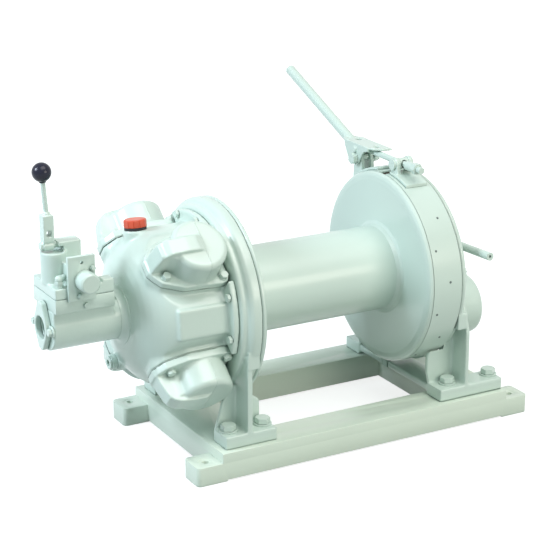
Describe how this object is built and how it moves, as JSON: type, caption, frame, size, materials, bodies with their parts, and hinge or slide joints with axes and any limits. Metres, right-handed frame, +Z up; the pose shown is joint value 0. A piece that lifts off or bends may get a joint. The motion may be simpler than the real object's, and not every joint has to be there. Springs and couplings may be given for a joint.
{
  "type": "air winch",
  "caption": "Two-flanged rope drum on a bolt-down base frame, driven by a radial piston air motor through a back gear, with a hand band brake, a sliding pinion and a throttle lever",
  "frame": {"origin": "centre of the four base bolt holes, on the underside of the mounting tabs", "axes": "+X along the drum axis from the motor to the brake end, +Y away from the picture's viewer, +Z up"},
  "size_m": [1.3342, 0.8806, 0.8623],
  "materials": {
    "paint": "pale grey-green gloss enamel over castings, plates and most fasteners",
    "steel": "machined steel, lightly oiled",
    "brass": "bearing bronze, machined",
    "alu": "turned aluminium",
    "lining": "woven friction lining, matte",
    "gasket": "black seal rubber",
    "knob": "black phenolic, polished",
    "cap": "orange-red moulded plastic, fluted edge"
  },
  "bodies": {
    "winch": {"base_frame": "paint", "left_upright": "paint", "right_upright": "paint", "case_plate": "paint", "case_screws": "steel", "foot_bolts": "paint", "foot_washers": "paint", "motor_housing": "paint", "motor_bolts": "paint", "cylinder_head_1": "paint", "cylinder_head_2": "paint", "cylinder_head_3": "paint", "cylinder_head_4": "paint", "head_gaskets": "gasket", "head_bolts": "paint", "cylinder_liners": "steel", "pistons": "alu", "piston_pins": "steel", "connecting_rods": "steel", "crank_bearings": "brass", "oil_plug": "paint", "filler_seal": "gasket", "valve_chest": "paint", "inlet_flange": "paint", "inlet_bolts": "paint", "distributor_plate": "paint", "valve_top": "paint", "cover_plate": "paint", "cover_nuts": "paint", "end_cap": "paint", "centring_spring": "steel", "pilot_elbow": "paint", "drum_bearings": "brass", "shaft_bearings": "steel", "steel_discs": "steel", "brake_springs": "steel", "clutch_cover": "paint", "brake_band": "paint", "brake_lining": "lining", "lining_screws": "paint", "rear_lug": "paint", "front_lug": "paint", "lug_trunnion": "paint", "pivot_bolt": "paint", "band_anchor": "paint"},
    "drum": {"drum": "paint", "drum_gear": "steel"},
    "crank": {"crankshaft": "steel", "rotary_valve": "brass"},
    "pinion": {"shift_pinion": "steel"},
    "lay": {"layshaft": "steel", "layshaft_gear": "steel", "friction_discs": "lining"},
    "cap": {"filler_cap": "cap"},
    "throttle": {"throttle_lever": "paint", "throttle_knob": "knob"},
    "spool": {"valve_spool": "steel"},
    "shifter": {"clutch_lever": "paint"},
    "brake": {"brake_lever": "paint"},
    "rod": {"adjusting_rod": "paint"}
  },
  "joints": [
    {"name": "drum_spin", "type": "hinge", "parent": "winch", "child": "drum", "pos_m": [0, 0, 0.405], "axis": [1, 0, 0], "continuous": true},
    {"name": "layshaft_spin", "type": "hinge", "parent": "winch", "child": "lay", "pos_m": [0.3, 0, 0.25], "axis": [1, 0, 0], "continuous": true},
    {"name": "crank_spin", "type": "hinge", "parent": "winch", "child": "crank", "pos_m": [0, 0, 0.405], "axis": [1, 0, 0], "continuous": true},
    {"name": "pinion_shift", "type": "slide", "parent": "crank", "child": "pinion", "axis": [1, 0, 0], "range_m": [0, 0.012]},
    {"name": "clutch_throw", "type": "hinge", "parent": "winch", "child": "shifter", "pos_m": [0.351, 0.084, 0.45], "axis": [0, 0, 1], "range_deg": [0, 16.1]},
    {"name": "throttle_swing", "type": "hinge", "parent": "winch", "child": "throttle", "pos_m": [-0.787, 0.005, 0.612], "axis": [1, 0, 0], "range_deg": [-12, 12], "stiffness_Nm_per_rad": 4},
    {"name": "spool_slide", "type": "slide", "parent": "winch", "child": "spool", "axis": [0, 1, 0], "range_m": [-0.0135, 0.0135], "deforming": ["centring_spring"]},
    {"name": "cap_turn", "type": "hinge", "parent": "winch", "child": "cap", "pos_m": [-0.536, 0.03104, 0.61269], "axis": [0, 0.1478, 0.989], "range_deg": [0, 90]},
    {"name": "brake_throw", "type": "hinge", "parent": "winch", "child": "brake", "pos_m": [0.234, 0.165, 0.675], "axis": [1, 0, 0], "range_deg": [-20, 1]},
    {"name": "rod_swing", "type": "hinge", "parent": "brake", "child": "rod", "pos_m": [0.234, 0.165, 0.7], "axis": [1, 0, 0], "range_deg": [-1, 20]}
  ],
  "couplings": [
    {"joint": "layshaft_spin", "follows": "drum_spin", "ratio": -3.4286},
    {"joint": "crank_spin", "follows": "drum_spin", "ratio": 9.8571},
    {"joint": "pinion_shift", "follows": "clutch_throw", "m_per_rad": 0.0425},
    {"joint": "spool_slide", "follows": "throttle_swing", "m_per_rad": 0.062},
    {"joint": "rod_swing", "follows": "brake_throw", "ratio": -1}
  ]
}
